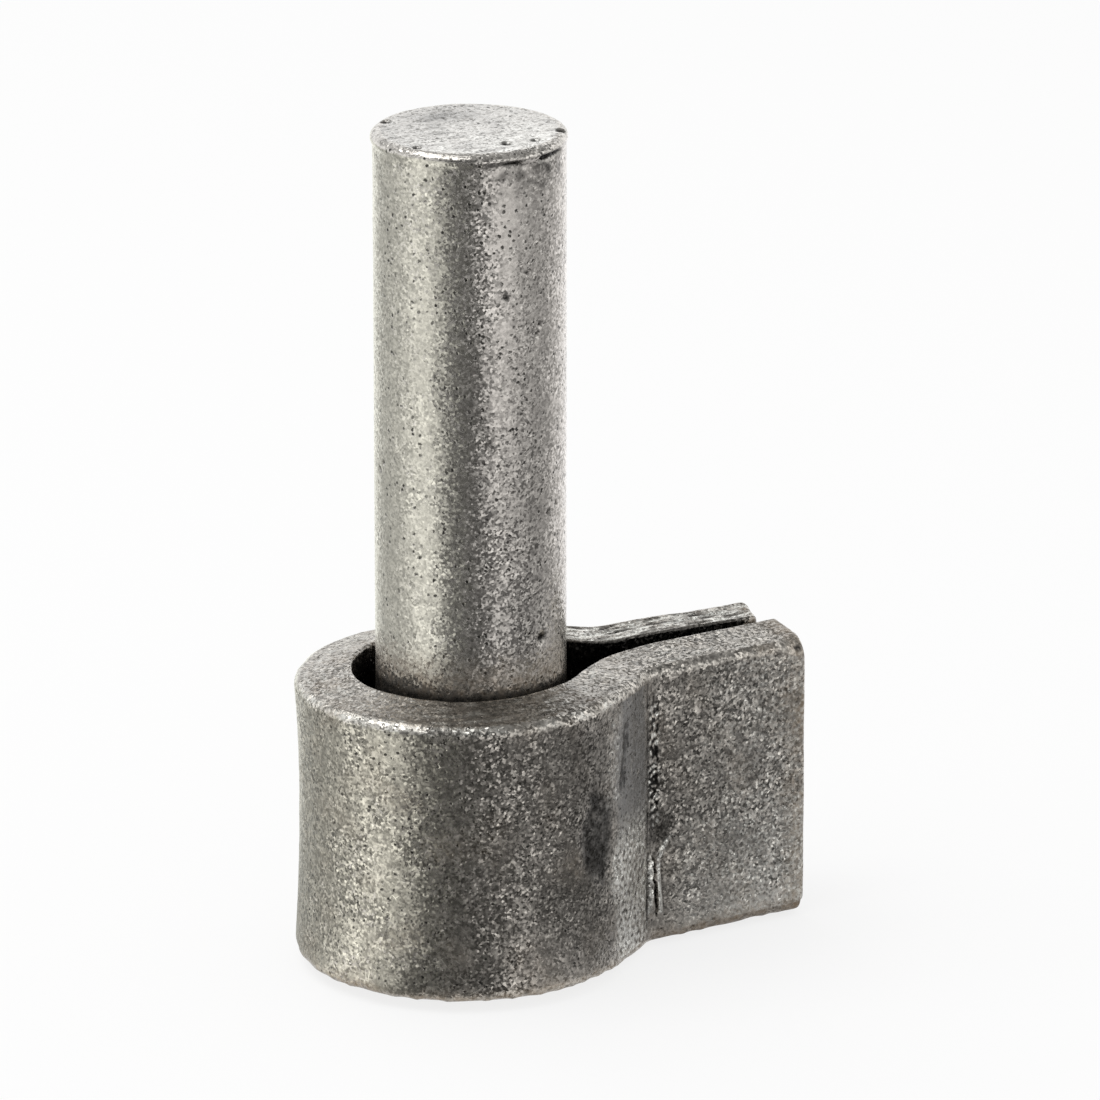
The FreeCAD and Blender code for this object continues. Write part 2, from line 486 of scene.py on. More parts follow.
def build_pin(material):
    """The round pin, with the eased rim and lip that cropping left at its top and pits in its skin."""
    turn = np.linspace(0, 360, PIN_COLUMNS, endpoint=False)
    # The lip is highest at the right of the front, where a gap runs under it.
    torn = window(wrapped(turn - PIN_TEAR_TURN), low=-34, high=18, soft=8)
    radii, heights, gap = pin_rings(turn, torn)
    grid = np.empty((*radii.shape, 3))
    grid[..., :2] = radii[..., None] * heading(turn)
    grid[..., 2] = heights
    on_top = radii < PIN_RADIUS - PIN_RIM_WIDTH
    on_wall = heights < PIN_TOP - PIN_RIM_DROP / 2

    # Pits in the wall are given by distance round from the front, height and radius, and those in the top
    # by x, y and radius.
    wall_pits = [
        (2.7, 3.95, 0.46), (-0.9, 34.0, 0.26), (1.16, 35.8, 0.18), (2.5, 31.2, 0.24), (2.2, 30.5, 0.2),
        (3.5, 14.75, 0.2), (4.75, 15.2, 0.2), (-13.6, 17.9, 0.24), (-12.8, 18.7, 0.2),
    ]
    top_pits = [(0.6, -5.2, 0.5), (3.1, -5.5, 0.4), (6.4, -3.9, 0.45), (-5.0, 5.3, 0.5), (-6.4, -2.9, 0.35)]
    round_from_front = np.radians(wrapped(turn + 90)) * PIN_RADIUS * np.ones(radii.shape)
    pit_in_wall = spots(round_from_front, heights, wall_pits)
    pit = np.where(on_wall, pit_in_wall, spots(grid[..., 0], grid[..., 1], top_pits))

    wide = ripple(grid, wavelength=9.0, seed=3)
    small = ripple(grid, wavelength=1.3, seed=4)
    grain_depth = np.where(on_top, PIN_TOP_GRAIN_DEPTH, PIN_WALL_GRAIN_DEPTH)
    lift = -PIN_WAVE_DEPTH * np.abs(wide) - grain_depth * np.abs(small) - PIN_PIT_DEPTH * pit
    grid = grid + grid_normals(grid) * lift[..., None]

    # Painted shade under the torn lip and in the gap there, a smudge and saw marks on the top, and a dark
    # line of painted shade where the loop begins.
    # Band darkened under the torn lip: painted shade.
    under_lip_shade = torn * window(heights, low=PIN_TOP - 3.4, high=PIN_TOP - 0.9, soft=1.0)
    under_lip_shade = under_lip_shade * np.clip(0.4 + 0.3 * small, 0, 1)
    smudge = 0.6 * bell(grid[..., 0], middle=-0.2, width=2.8) * bell(grid[..., 1], middle=4.4, width=1.9)
    sawn = ripple(grid * np.array([1.0, 4.0, 1.0]), wavelength=4.0, seed=23)
    sawn_bright = np.clip(0.2 - 0.2 * sawn, 0, 1) * bell(grid[..., 1], middle=-7.0, width=6.0)
    foot_shade = 1 - smooth_step(heights, low=-0.5, high=4.5)
    # Wall darkened just where it goes into the loop: painted shade.
    foot_contact_shade = 0.75 * (1 - smooth_step(heights, low=-0.7, high=0.12))
    left_side = bell(wrapped(turn + 180), middle=0, width=30)
    masks = {
        # The pit mask takes the pits, and painted shade in the gap under the lip and where the pin goes
        # into the loop.
        "pit": np.maximum(np.maximum(pit, foot_contact_shade), 1.6 * gap),
        "oxide": 0.7 * foot_shade,
        "polish": np.where(on_top, 0.4, 0.15 * left_side),
        "stain": np.where(on_top, smudge + 0.16 * np.clip(sawn, 0, None), under_lip_shade),
        "wear_and_highlight": np.where(on_top, sawn_bright, 0.0),
    }
    add_piece("hinge_pin_steel", grid, grid_faces(*radii.shape), material, "hinge_pin", masks)


def crossing(start_a, along_a, start_b, along_b):
    """Point where two level lines cross."""
    gap = start_b - start_a
    across = along_a[0] * along_b[1] - along_a[1] * along_b[0]
    return start_a + along_a * ((gap[0] * along_b[1] - gap[1] * along_b[0]) / across)


def side_route(side, fineness):
    """Inner face of one side of the strap, from the loop to the tip: points, outward headings and bends.

    A bend is 1 where the bar curls round the pin, -1 where it curls back and 0 where it is straight.
    """
    slant_out = heading(side * (90 - SLANT_ANGLE))
    slant_along = heading(-side * SLANT_ANGLE)
    tail_out = heading(side * (90 - TAIL_OPENING))
    tail_along = heading(-side * TAIL_OPENING)
    loop_end = LOOP_CENTRE + slant_out * LOOP_RADIUS
    tip = np.array([TAIL_REACH[side], TIP_SHIFT + side * TIP_GAP / 2])
    knee = crossing(loop_end, slant_along, tip, tail_along)
    radius = BEND_RADIUS + BAR_THICKNESS
    tangent = radius * math.tan(math.radians(SLANT_ANGLE - TAIL_OPENING) / 2)
    bend_start = knee - slant_along * tangent
    bend_end = knee + tail_along * tangent
    bend_centre = bend_start + slant_out * radius

    slant_shares = np.linspace(0, 1, SLANT_STATIONS * fineness ** 2)[1:, None]
    slant = loop_end + (bend_start - loop_end) * slant_shares
    turn = np.linspace(SLANT_ANGLE, TAIL_OPENING, BEND_STATIONS * fineness)[1:]
    bend_out = heading(side * (90 - turn))
    bend = bend_centre - bend_out * radius
    straight = np.linalg.norm(tip - bend_end) - TIP_ROUND[side]
    near = np.linspace(0, MARKED_LENGTH, MARKED_STATIONS * fineness)[1:]
    far = np.linspace(MARKED_LENGTH, straight, TAIL_STATIONS * fineness)[1:]
    rounding = straight + TIP_ROUND[side] * np.sin(np.linspace(0, np.pi / 2, TIP_STATIONS))[1:]
    tail = bend_end + tail_along * np.concatenate([near, far, rounding])[:, None]
    points = np.concatenate([slant, bend, tail])
    slant_outs = np.tile(slant_out, (len(slant), 1))
    tail_outs = np.tile(tail_out, (len(tail), 1))
    outs = np.concatenate([slant_outs, bend_out, tail_outs])
    bends = np.concatenate([np.zeros(len(slant)), -np.ones(len(bend)), np.zeros(len(tail))])
    return points, outs, bends


def strap_route():
    """The bar's inner face from the rear tip, round the loop, to the front tip."""
    rear_points, rear_outs, rear_bends = side_route(REAR, fineness=1)
    front_points, front_outs, front_bends = side_route(FRONT, fineness=2)
    start = 90 - SLANT_ANGLE
    loop_outs = heading(np.linspace(start, 360 - start, LOOP_STATIONS))
    loop_points = LOOP_CENTRE + loop_outs * LOOP_RADIUS
    points = np.concatenate([rear_points[::-1], loop_points, front_points])
    outs = np.concatenate([rear_outs[::-1], loop_outs, front_outs])
    bends = np.concatenate([rear_bends[::-1], np.ones(len(loop_points)), front_bends])
    return points, outs, bends


def route_length(points):
    """Distance along a route to each of its points."""
    steps = np.linalg.norm(np.diff(points, axis=0), axis=1)
    return np.concatenate([[0.0], np.cumsum(steps)])


def blurred(values, distance, reach):
    """Values along a route averaged over a reach on either side."""
    share = np.exp(-(((distance[:, None] - distance[None, :]) / reach) ** 2)) * np.gradient(distance)
    return (share @ values) / share.sum(axis=1)


def rounded_sections(corners, radii, arc_points, side_points):
    """Closed outlines of four sides with rounded corners, one for each station of a route."""
    to_before = unit(np.roll(corners, 1, axis=1) - corners)
    to_after = unit(np.roll(corners, -1, axis=1) - corners)
    half = np.arccos(np.clip((to_before * to_after).sum(axis=-1), -1, 1)) / 2
    reach = (radii / np.tan(half))[..., None]
    starts = corners + to_before * reach
    ends = corners + to_after * reach
    share = np.linspace(0, 1, arc_points)[None, :, None]
    first = (1 - share) ** 2
    last = share ** 2
    outline = []
    for corner, side_count in enumerate(side_points):
        weight = np.sin(half[:, corner])[:, None, None]
        middle = 2 * share * (1 - share) * weight
        arc = first * starts[:, None, corner] + middle * corners[:, None, corner]
        arc = arc + last * ends[:, None, corner]
        outline.append(arc / (first + middle + last))
        along = np.linspace(0, 1, side_count + 2)[None, 1:-1, None]
        after = (corner + 1) % len(side_points)
        outline.append(ends[:, None, corner] * (1 - along) + starts[:, None, after] * along)
    return np.concatenate(outline, axis=1)


def section_columns():
    """Where each side of the bar, and the rounded corner before it, lies in an outline's points."""
    columns = {}
    start = 0
    for side, count in SIDE_POINTS.items():
        columns[side + " corner"] = slice(start, start + ARC_POINTS)
        columns[side] = slice(start + ARC_POINTS, start + ARC_POINTS + count)
        start += ARC_POINTS + count
    return columns


def strap_outline(distance, bends):
    """Section of the bar at each station: its edges slope where it is bent and its tips are rounded."""
    bend = blurred(bends, distance, BEND_BLUR)
    curl = np.clip(bend, 0, 1)
    uncurl = np.clip(-bend, 0, 1)
    from_tip = np.minimum(distance, distance[-1] - distance)
    at_rear = distance < distance[-1] / 2
    rear_tail = 1 - smooth_step(distance, low=4.0, high=16.0)

    def tip_fall(radius):
        left = np.clip(radius - from_tip, 0, radius)
        return radius - np.sqrt(radius ** 2 - left ** 2)

    inner = tip_fall(INNER_EDGE_ROUND)
    outer = BAR_THICKNESS - tip_fall(np.where(at_rear, TIP_ROUND[REAR], TIP_ROUND[FRONT]))
    drop = tip_fall(TIP_DROP_ROUND)
    rise = tip_fall(TIP_LOW_ROUND)
    inner_low = STRAP_BASE + INNER_LOW + rise
    inner_high = INNER_HIGH + INNER_HIGH_CURL * curl + INNER_HIGH_UNCURL * uncurl - drop
    outer_high = OUTER_HIGH + OUTER_HIGH_UNCURL * uncurl + OUTER_HIGH_REAR * rear_tail - drop
    outer_low = STRAP_BASE + OUTER_LOW + OUTER_LOW_CURL * curl + rise
    corners = [
        (inner, inner_low), (inner, inner_high), (outer - LOOP_TUCK * curl, outer_high),
        (outer - OUTER_LOW_TUCK, outer_low),
    ]
    corners = np.stack([np.stack(corner, axis=-1) for corner in corners], axis=1)

    near_tip = 1 - smooth_step(from_tip, low=0.0, high=3.5)
    corner_gain = np.where(at_rear, TIP_CORNER_GAIN[REAR], TIP_CORNER_GAIN[FRONT])
    inner_round = np.full_like(distance, INNER_EDGE_ROUND)
    top_round = OUTER_EDGE_ROUND + corner_gain * near_tip + REAR_ROUND_GAIN * rear_tail * (1 - near_tip)
    low_round = np.full_like(distance, OUTER_EDGE_ROUND)
    radii = np.stack([inner_round, inner_round, top_round, low_round], axis=1)
    outline = rounded_sections(corners, radii, ARC_POINTS, list(SIDE_POINTS.values()))
    half_way = np.linspace(-1, 1, SIDE_POINTS["outer"])
    outline[:, section_columns()["outer"], 0] -= LOOP_HOLLOW * curl[:, None] * (1 - half_way ** 2)
    return outline


class Marks:
    """Marks on a face: how far they stand out, and how dark, bright, burnished and stained they are."""

    def __init__(self, shape):
        self.layers = {name: np.zeros(shape) for name in ("lift", "dark", "bright", "burnish", "stain")}

    def leave(self, shape, **amounts):
        for name, amount in amounts.items():
            self.layers[name] = self.layers[name] + amount * shape


# The functions below leave the bending tool's marks on the strap's outer face. A place on it is given by
# its distance along from the front bend towards the tip and by its height.


def mark_crease(marks, along, height, noise, crumbs):
    """The tool's edge: a crease, with a rough band along the tail's side of it."""
    # The crease's dark line is painted shade.
    crease = bell(along, middle=-0.95, width=0.17) * window(height, low=-23.5, high=-2.2, soft=0.8)
    marks.leave(crease * (0.75 + 0.25 * noise), lift=-0.09, dark=1.0)
    rough = window(along, low=-0.75, high=0.6, soft=0.2) * window(height, low=-14.5, high=-3.5, soft=1.0)
    marks.leave(rough * smooth_step(crumbs, low=-0.1, high=0.5), lift=0.03, dark=1.0)
    marks.leave(rough * smooth_step(-crumbs, low=0.5, high=1.2), bright=0.8)
    blotch = window(along, low=-0.6, high=1.8, soft=0.4) * window(height, low=-16.6, high=-13.6, soft=0.8)
    marks.leave(blotch, stain=0.75)
    scratch = bell(height, middle=-7.9 + 0.05 * along, width=0.09)
    marks.leave(scratch * window(along, low=0.2, high=5.0, soft=0.8), dark=0.5)


def mark_chatter(marks, along, height, noise):
    """A row of pressed dots beside the crease."""
    dot_pitch = 0.52
    beat = np.sin(2 * np.pi * height / dot_pitch + 0.9 * noise)
    row = window(height, low=-12.3, high=-9.2, soft=0.3)
    dots = row * bell(along, middle=-0.42, width=0.2) * smooth_step(beat, low=0.0, high=0.8)
    marks.leave(dots, bright=1.3, lift=0.04)
    # The dark gaps between the dots are painted shade.
    gaps = row * window(along, low=-0.7, high=0.5, soft=0.15) * smooth_step(-beat, low=-0.5, high=0.6)
    marks.leave(gaps, dark=1.1, lift=-0.06)


def mark_flake(marks, along, height, noise, crumbs):
    """A torn flake below the dots, with a slit behind its edge, which curves away at its top."""
    slit_place = 0.12 + 0.08 * np.clip(-18.0 - height, 0, None)
    slit_length = window(height, low=-23.1, high=-17.7, soft=0.5)
    slit = bell(along, middle=slit_place + 0.05 * noise, width=0.10) * slit_length
    # Black in the slit: painted shade.
    marks.leave(slit, lift=-0.5, dark=1.4)
    edge_place = slit_place + 0.36 + 0.13 * np.clip(height + 18.9, 0, None) ** 2.2
    edge_width = 0.13 + 0.06 * smooth_step(height, low=-19.0, high=-17.5)
    edge = bell(along, edge_place, edge_width) * window(height, low=-22.8, high=-16.2, soft=0.3)
    marks.leave(edge * np.clip(0.95 + 0.4 * crumbs, 0, 1), lift=0.15, bright=1.4)
    # Dark line behind the raised edge: painted shade.
    marks.leave(bell(along, middle=edge_place + 0.3, width=0.1) * slit_length, dark=0.55)
    flake = window(along, low=-0.75, high=-0.1, soft=0.12) * window(height, low=-22.4, high=-17.6, soft=0.4)
    marks.leave(flake * smooth_step(crumbs, low=-0.9, high=-0.2), lift=0.24, bright=1.6)
    marks.leave(flake * smooth_step(-crumbs, low=0.8, high=1.2), dark=0.9)


def mark_strip(marks, along, height, noise, drift, crumbs):
    """The strip that the tool rubbed, smooth above and bright below, with two nicks and a bright border."""
    strip = window(along + 0.3 * drift, low=-7.2, high=-1.2, soft=0.9)
    low = smooth_step(-height, low=11.0, high=15.5)
    marks.leave(strip * (1 - low), burnish=1.0, stain=0.34)
    marks.leave(strip * low * np.clip(0.85 + 0.25 * drift + 0.7 * crumbs, 0, 1.6), bright=0.62)
    marks.leave(strip * low * smooth_step(-crumbs, low=0.7, high=1.3), dark=0.45)
    border = bell(along, middle=-7.6 + 0.4 * noise, width=0.9)
    border = border * window(height, low=-10.5, high=-2.5, soft=1.0)
    marks.leave(border * np.clip(crumbs, 0, 1), bright=0.6)
    # The two nicks are darkened with painted shade.
    upper_nick = bell(along, middle=-5.7 + 0.3 * noise, width=0.3)
    marks.leave(upper_nick * window(height, low=-6.6, high=-4.0, soft=0.4), lift=-0.1, dark=0.75)
    lower_nick = bell(along, middle=-6.1 + 0.3 * noise, width=0.32)
    marks.leave(lower_nick * window(height, low=-9.6, high=-6.8, soft=0.5), lift=-0.1, dark=0.75)


def mark_smudges(marks, along, height, noise, drift):
    """Dark marks on the loop beside the strip: a pressed smudge, and faint darkening above and below it."""
    slanted = along - 0.12 * (height + 11.5) + 0.25 * drift
    smudge = window(slanted, low=-12.0, high=-8.1, soft=0.5)
    smudge = smudge * window(height + 0.5 * drift, low=-16.0, high=-9.2, soft=0.9)
    darkness = np.clip(0.78 + 0.2 * bell(height, middle=-14.6, width=1.8) + 0.14 * noise, 0, 1)
    marks.leave(smudge * darkness, stain=1.0, lift=-0.1, burnish=0.6)
    above = window(along + 0.3 * drift, low=-13.8, high=-8.4, soft=0.9)
    marks.leave(above * window(height, low=-10.0, high=-2.2, soft=1.4), stain=0.42)
    below = window(along, low=-18.0, high=-9.0, soft=2.0) * smooth_step(-height, low=12.5, high=16.5)
    marks.leave(below, stain=0.42)


def mark_tail(marks, along, height, crumbs):
    """The tail's face, a little brighter towards its tip and its base."""
    towards_tip = smooth_step(along, low=1.0, high=11.0)
    marks.leave(towards_tip * np.clip(0.6 + 0.7 * crumbs, 0, 1), bright=0.24)
    towards_base = smooth_step(along, low=1.0, high=4.0) * smooth_step(-height, low=13.0, high=18.0)
    marks.leave(towards_base, bright=0.14)


def bending_marks(grid, along, noise):
    """All marks of the bending tool."""
    height = grid[..., 2]
    drift = ripple(grid, wavelength=5.0, seed=8)
    crumbs = ripple(grid, wavelength=0.55, seed=9)
    marks = Marks(height.shape)
    mark_crease(marks, along, height, noise, crumbs)
    mark_chatter(marks, along, height, noise)
    mark_flake(marks, along, height, noise, crumbs)
    mark_strip(marks, along, height, noise, drift, crumbs)
    mark_smudges(marks, along, height, noise, drift)
    mark_tail(marks, along, height, crumbs)
    return marks.layers


def section_masks(columns):
    """Which points of an outline lie on the bar's inner face, top, two outer edges and outer face.

    The last mask joins the outer face and its upper edge.
    """
    parts = section_columns()
    inner, top, edge, low_edge, outer = (np.zeros(columns) for _ in range(5))
    inner[parts["inner"]] = 1
    inner[parts["top corner"]] = np.linspace(1, 0, ARC_POINTS)
    top[parts["top"]] = 1
    edge[parts["outer corner"]] = np.sin(np.linspace(0, np.pi, ARC_POINTS))
    low_edge[parts["bottom corner"]] = 1
    outer[parts["outer"]] = 1
    outside = outer.copy()
    outside[parts["outer corner"]] = 1
    return inner, top, edge, low_edge, outer, outside


def cap(ring, middle_point):
    """Rings that shrink from the last one of a tip onto the middle of the bar and close it."""
    middle = ring.copy()
    middle[:, :2] = middle_point
    middle[:, 2] = np.clip(ring[:, 2], STRAP_BASE + BAR_THICKNESS / 2, -BAR_THICKNESS / 2)
    shares = np.linspace(0, 1, CAP_RINGS + 1)[1:, None, None]
    return ring + (middle - ring) * shares


def build_strap(material):
    """The bent flat bar, with sloped and rounded edges, a hollowed loop and the marks of its bending."""
    points, outs, bends = strap_route()
    middle_distance = route_length(points + outs * BAR_THICKNESS / 2)
    outer_distance = route_length(points + outs * BAR_THICKNESS)
    outline = strap_outline(middle_distance, bends)
    stations, columns = outline.shape[:2]
    grid = np.empty((stations, columns, 3))
    grid[..., :2] = points[:, None] + outs[:, None] * outline[..., :1]
    grid[..., 2] = outline[..., 1]
    height = grid[..., 2]
    rear_along = heading(-TAIL_OPENING)
    skew = REAR_TIP_SKEW * (1 - smooth_step(middle_distance, low=0.0, high=5.0))
    grid[..., :2] += (skew[:, None] * outline[..., 0])[..., None] * rear_along

    on_inner, on_top, on_edge, on_low_edge, on_outer, on_outside = section_masks(columns)
    front_bend = np.flatnonzero(bends < 0)
    front_bend = front_bend[front_bend > stations / 2]
    along = (outer_distance - outer_distance[front_bend].mean())[:, None]
    length = outer_distance[-1]
    rear = smooth_step(-outer_distance, low=-length * 0.26, high=-length * 0.17)[:, None]

    # Shearing left the bar's edges streaked along its length, and bending left its faces a little uneven.
    streak_distance = np.broadcast_to(middle_distance[:, None] * 0.3, height.shape)
    streak = ripple(np.stack([streak_distance, outline[..., 0], height], axis=-1), wavelength=0.7, seed=5)
    grain = ripple(grid, wavelength=0.8, seed=6)
    broken = ripple(grid, wavelength=3.2, seed=7)
    wide = ripple(grid, wavelength=9.0, seed=1)
    small = ripple(grid, wavelength=2.4, seed=2)
    marks = bending_marks(grid, along, grain)
    tail_pit = spots(along, height, [(along.max() - 0.8, -1.7, 0.42)])
    streak_depth = STREAK_DEPTH + REAR_STREAK_DEPTH * rear
    lift = -FACE_WAVE_DEPTH * np.abs(wide) - FACE_GRAIN_DEPTH * np.abs(small)
    lift = lift - on_top * (streak_depth * np.abs(streak) + REAR_GRAIN_DEPTH * rear * np.abs(grain))
    lift = lift - (HIGH_EDGE_DEPTH * on_edge + LOW_EDGE_DEPTH * on_low_edge) * np.abs(broken)
    lift = lift + on_outer * marks["lift"]
    lift = lift - TAIL_PIT_DEPTH * on_outside * tail_pit
    outward = -grid_normals(grid)
    grid = grid + outward * lift[..., None]

    # Worn streaks on the top, a painted highlight along the outer top edge, oxide along the base and at the
    # tips, the loop's top darker towards the front (partly oxide, partly painted shade), and painted shade
    # on the inner faces of loop and tail.
    curl = blurred(np.clip(bends, 0, 1), middle_distance, BEND_BLUR)[:, None]
    from_tip = np.minimum(middle_distance, middle_distance[-1] - middle_distance)[:, None]
    low_edge = 1 - smooth_step(height, low=STRAP_BASE + 0.6, high=STRAP_BASE + 2.6)
    end = smooth_step(grid[..., 0], low=26.0, high=28.6)
    # The loop's top darkened towards the front: partly oxide, partly painted shade.
    front_top_oxide_and_shade = on_top * curl * smooth_step(-grid[..., 1], low=3.0, high=9.0)
    near_top = smooth_step(height, low=-2.5, high=-0.3)
    # Inner faces of loop and tail darkened, less near the top of the loop's inside, and the rear tail's
    # face in the gap darker still: painted shade.
    inside_shade = on_inner * smooth_step(from_tip, low=0.3, high=3.0) * (1 - 0.5 * curl * near_top)
    gap_shade = on_inner * rear * smooth_step(from_tip, low=0.3, high=2.0) * (1 - curl)
    # Outer top edge brightened, most round the loop: painted highlight.
    edge_highlight = on_edge * (0.12 + 0.88 * curl) * np.clip(0.2 + 0.15 * broken, 0, 0.8)
    worn_top = on_top * np.clip(0.4 * streak + 0.3 * rear - 0.05, 0, 0.8) * (0.3 + rear)
    dark_streak = on_top * rear * smooth_step(-streak, low=0.9, high=1.5) * 0.7
    mottle = ripple(grid, wavelength=5.0, seed=12)
    masks = {
        "wear_and_highlight": on_outer * marks["bright"] + edge_highlight + worn_top,
        "oxide": 0.75 * low_edge + 0.65 * end + 0.1 * on_top * curl + 0.3 * front_top_oxide_and_shade + 0.12 * mottle,
        "pit": np.maximum(on_outer * marks["dark"], on_outside * tail_pit) + dark_streak + 0.7 * gap_shade,
        "polish": on_outer * marks["burnish"],
        "stain": on_outer * marks["stain"] + 0.5 * front_top_oxide_and_shade + 0.92 * inside_shade,
    }

    # Each tip is closed by plain rings.
    middles = points + (outs + skew[:, None] * rear_along) * BAR_THICKNESS / 2
    capped = np.concatenate([cap(grid[0], middles[0])[::-1], grid, cap(grid[-1], middles[-1])])
    for name, mask in masks.items():
        masks[name] = np.pad(mask, ((CAP_RINGS, CAP_RINGS), (0, 0)), mode="edge")
    for name in ("wear_and_highlight", "pit", "stain"):
        masks[name][:CAP_RINGS] = 0
        masks[name][-CAP_RINGS:] = 0
    add_piece("wrap_strap_steel", capped, grid_faces(*capped.shape[:2]), material, "wrap_strap", masks)


def build_weld(material):
    """The bead that holds the pin in the loop from below, laid round in overlapping ripples."""
    columns = np.ones(WELD_COLUMNS)
    outer = (weld_high[0] - weld_low[0]) / 2
    inner = outer - WELD_WIDTH
    turn = np.linspace(0, 360, WELD_COLUMNS, endpoint=False)
    across = np.linspace(0, 1, WELD_FACE_RINGS)
    face_radii = inner + (outer - inner) * across
    laid = (turn / WELD_RIPPLE_TURN + WELD_RIPPLE_BOW * across[:, None] * (1 - across[:, None])) % 1.0
    scallop = WELD_RIPPLE_DEPTH * (1 - laid) ** 2
    crown = np.sqrt(np.clip(1 - (2 * across - 1) ** 2, 0, 1))[:, None]
    depth = (PIN_FOOT - weld_low[2] - scallop) * crown
    face_heights = PIN_FOOT - depth
    wall_high = np.full((1, WELD_COLUMNS), PIN_FOOT + WELD_CLIMB)
    back_radii = np.array([[outer], [PIN_RADIUS + LOOP_CENTRE[0] + WELD_OVERLAP]]) * columns
    radii = np.concatenate([face_radii[:, None] * columns, back_radii])
    heights = np.concatenate([face_heights, wall_high, wall_high])
    grid = np.empty((*radii.shape, 3))
    grid[..., :2] = LOOP_CENTRE + radii[..., None] * heading(turn)
    grid[..., 2] = heights
    faces = grid_faces(*radii.shape, wrap_rows=True)
    masks = {
        "oxide": 0.35 + 0.3 * ripple(grid, wavelength=4.0, seed=31),
        "stain": 0.35 * laid.mean(axis=0) + 0.1,
    }
    add_piece("foot_weld_bead", grid, faces, material, "foot_weld", masks)


def direction(azimuth, elevation):
    """Unit vector from the object towards a camera or lamp at these angles."""
    a, e = math.radians(azimuth), math.radians(elevation)
    return Vector((math.sin(a) * math.cos(e), -math.cos(a) * math.cos(e), math.sin(e)))


def add_camera():
    """Camera at the photograph's viewing angle."""
    data = bpy.data.cameras.new("camera")
    data.sensor_width = SENSOR_WIDTH
    data.lens = CAMERA_FOCAL_PIXELS / FRAME_PIXELS * SENSOR_WIDTH
    data.clip_start, data.clip_end = CAMERA_CLIP
    camera = bpy.data.objects.new("camera", data)
    back = direction(CAMERA_AZIMUTH, CAMERA_ELEVATION)
    right = direction(CAMERA_AZIMUTH + 90, 0)
    aim = Vector((0, 0, AIM_HEIGHT)) + right * AIM_RIGHT_OF_PIN
    camera.location = aim + back * CAMERA_DISTANCE
    camera.rotation_mode = "QUATERNION"
    camera.rotation_quaternion = (-back).to_track_quat("-Z", "Y")
    bpy.context.scene.collection.objects.link(camera)
    bpy.context.scene.camera = camera


def add_softbox(name, turn, elevation, distance, size, radiance):
    """Square lamp at a turn to the right of the camera, facing the object."""
    data = bpy.data.lights.new(name, "AREA")
    data.shape = "SQUARE"
    data.size = size
    data.energy = math.pi * size * size * radiance
    lamp = bpy.data.objects.new(name, data)
    towards = direction(CAMERA_AZIMUTH + turn, elevation)
    lamp.location = Vector((0, 0, AIM_HEIGHT)) + towards * distance
    lamp.rotation_mode = "QUATERNION"
    lamp.rotation_quaternion = towards.to_track_quat("Z", "Y")
    bpy.context.scene.collection.objects.link(lamp)


def add_floor():
    """Pale floor that reads as white to the camera and keeps a soft shadow of the object."""
    bpy.ops.mesh.primitive_circle_add(
        vertices=FLOOR_VERTICES, radius=FLOOR_RADIUS, fill_type="NGON", location=(0, 0, FLOOR_Z),
    )
    floor = bpy.context.object
    floor.name = "floor"
    material = bpy.data.materials.new("floor")
    graph = Graph(material)
    rays = graph.add("ShaderNodeLightPath").outputs
    seen = graph.math("MAXIMUM", rays["Is Camera Ray"], rays["Is Glossy Ray"])
    seen = graph.math("MAXIMUM", seen, rays["Is Transmission Ray"])
    diffuse = graph.add("ShaderNodeBsdfDiffuse", {"Color": (FLOOR_GREY, FLOOR_GREY, FLOOR_GREY, 1)})
    white = graph.add("ShaderNodeEmission", {"Color": (*WHITE, 1), "Strength": 1.0})
    mixed = graph.add("ShaderNodeMixShader", {0: graph.math("MULTIPLY", seen, FLOOR_GLOW)})
    graph.tree.links.new(diffuse.outputs["BSDF"], mixed.inputs[1])
    graph.tree.links.new(white.outputs["Emission"], mixed.inputs[2])
    graph.finish(mixed)
    floor.data.materials.append(material)


def card_level(turn, reach):
    """How bright the floor looks in the metal, by turn to the camera's right and by reach from the pin.

    It glows to the left and behind, less to the right, and is dark in front. Close in, it is dark to the
    right as well.
    """
    behind = np.abs(turn)
    near = 1 - smooth_step(reach, low=80, high=130)
    glow = 0.6 * bell(turn, middle=-60, width=24) + 0.5 * bell(turn, middle=37, width=18)
    glow_behind = 0.9 * bell(behind, middle=180, width=48) - 0.6 * bell(behind, middle=180, width=10)
    front_shade = 0.8 * bell(turn, middle=-8, width=21)
    side_shades = 0.28 * bell(turn, middle=96, width=28) + 0.25 * bell(turn, middle=-130, width=20)
    near_glow = 0.42 * bell(turn, middle=-48, width=13)
    near_shade = 0.2 * bell(turn, middle=-82, width=18) + 0.7 * window(turn, low=-20, high=16, soft=8)
    close_in = 1.1 * window(reach, low=25, high=95, soft=9)
    close_in = close_in + 0.28 * window(reach, low=95, high=150, soft=20)
    right_shade = close_in * window(turn, low=6, high=84, soft=10)
    level = CARD_LEVEL + glow + glow_behind - front_shade - side_shades - right_shade
    return np.clip(level + near * (near_glow - near_shade), CARD_DARKEST, None)


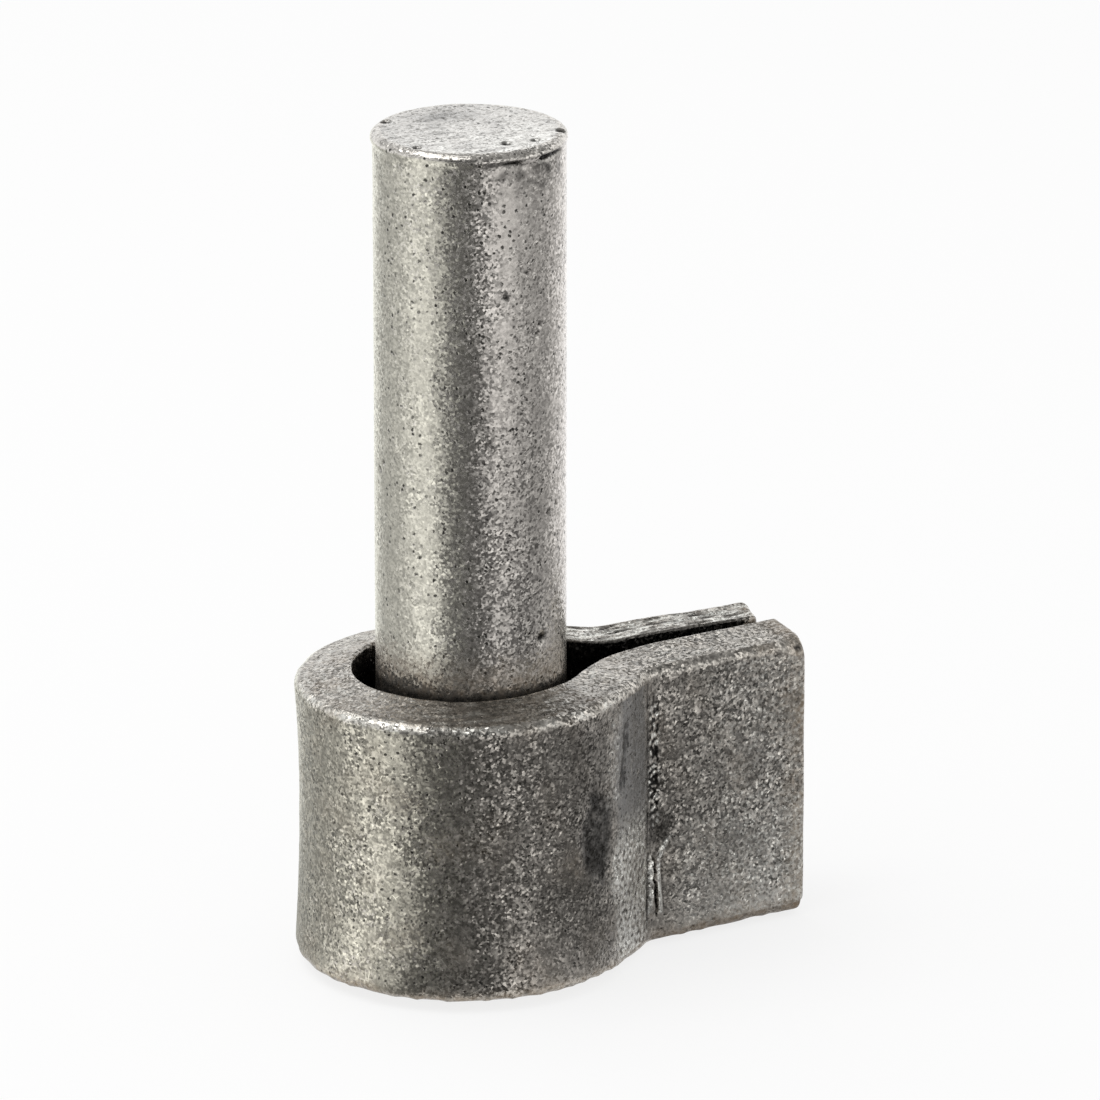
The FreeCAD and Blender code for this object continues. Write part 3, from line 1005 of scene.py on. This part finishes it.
def add_reflection_card():
    """Card on the floor that only the metal's reflections see: the studio's light and dark around it."""
    turns = np.linspace(-180, 180, CARD_TURNS)
    turn, reach = np.meshgrid(turns, np.geomspace(*CARD_REACH, CARD_REACHES), indexing="ij")
    angle = np.radians(CAMERA_AZIMUTH + turn)
    lifted = np.full(turn.shape, CARD_LIFT)
    points = np.stack([np.sin(angle) * reach, -np.cos(angle) * reach, lifted], axis=-1) * MM
    points[..., 2] += FLOOR_Z
    mesh = bpy.data.meshes.new("reflection_card")
    faces = grid_faces(*turn.shape, wrap_columns=False)
    mesh.from_pydata(points.reshape(-1, 3).tolist(), [], faces.tolist())
    add_attribute(mesh, "glow", card_level(turn, reach))
    add_attribute(mesh, "on_left", smooth_step(-turn, low=-20, high=40))
    card = bpy.data.objects.new("reflection_card", mesh)
    material = bpy.data.materials.new("reflection_card")
    graph = Graph(material)
    right_tint, left_tint = (1.0, 0.985, 0.99), (0.99, 1.0, 0.93)
    tint = graph.mix(graph.attribute("on_left"), right_tint, left_tint)
    glow = {"Color": tint, "Strength": graph.attribute("glow")}
    graph.finish(graph.add("ShaderNodeEmission", glow))
    mesh.materials.append(material)
    card.visible_camera = False
    card.visible_diffuse = False
    card.visible_shadow = False
    bpy.context.scene.collection.objects.link(card)


def set_world():
    """White to the camera; to the metal, white round the horizon, dark overhead and behind the camera."""
    world = bpy.data.worlds.new("studio")
    bpy.context.scene.world = world
    graph = Graph(world)
    rays = graph.add("ShaderNodeLightPath").outputs
    way = graph.add("ShaderNodeTexCoord").outputs["Generated"]
    rise = graph.add("ShaderNodeSeparateXYZ", {"Vector": way}).outputs["Z"]
    horizon_end, overhead_start = math.sin(math.radians(20)), math.sin(math.radians(38))
    band = graph.remap(rise, low=horizon_end, high=overhead_start, to_low=1.3, to_high=0.38)
    front = direction(CAMERA_AZIMUTH - 8, 0)
    facing = graph.add("ShaderNodeVectorMath", {0: way, 1: front}, operation="DOT_PRODUCT").outputs["Value"]
    shade_edge, shade_middle = math.cos(math.radians(55)), math.cos(math.radians(25))
    shade = graph.remap(facing, low=shade_edge, high=shade_middle, to_low=1.0, to_high=0.08)
    fill = (0.7, 0.7, 0.7)
    level = graph.mix(rays["Is Glossy Ray"], fill, graph.math("MULTIPLY", band, shade))
    seen = graph.math("MAXIMUM", rays["Is Camera Ray"], rays["Is Transmission Ray"])
    level = graph.mix(seen, level, WHITE)
    background = graph.add("ShaderNodeBackground", {"Color": level, "Strength": 1.0})
    graph.finish(background, "ShaderNodeOutputWorld")


bpy.context.scene.view_settings.view_transform = "Standard"

build_pin(raw_steel(
    "pin_steel", (0.575, 0.55, 0.51), grain=0.19 * MM, contrast=0.38, tilt=0.36, roughness=0.23,
    dents=0.03 * MM, scratching=0.2, pinholes=0.95, pinhole_gap=0.56 * MM,
))
build_strap(raw_steel(
    "strap_steel", (0.445, 0.42, 0.38), grain=0.20 * MM, contrast=0.75, tilt=0.56, roughness=0.28,
    dents=0.04 * MM, scratching=0.7, pinholes=0.95, pinhole_gap=0.52 * MM,
))
build_weld(raw_steel(
    "weld_steel", (0.34, 0.31, 0.28), grain=0.30 * MM, contrast=0.4, tilt=0.2, roughness=0.38,
    dents=0.05 * MM, scratching=0.1, pinholes=0.3, pinhole_gap=1.0 * MM,
))

add_camera()
add_floor()
add_reflection_card()
set_world()
add_softbox("left_softbox", turn=-72, elevation=62, distance=0.7, size=0.42, radiance=2.6)
add_softbox("back_softbox", turn=-140, elevation=62, distance=0.8, size=0.40, radiance=1.8)
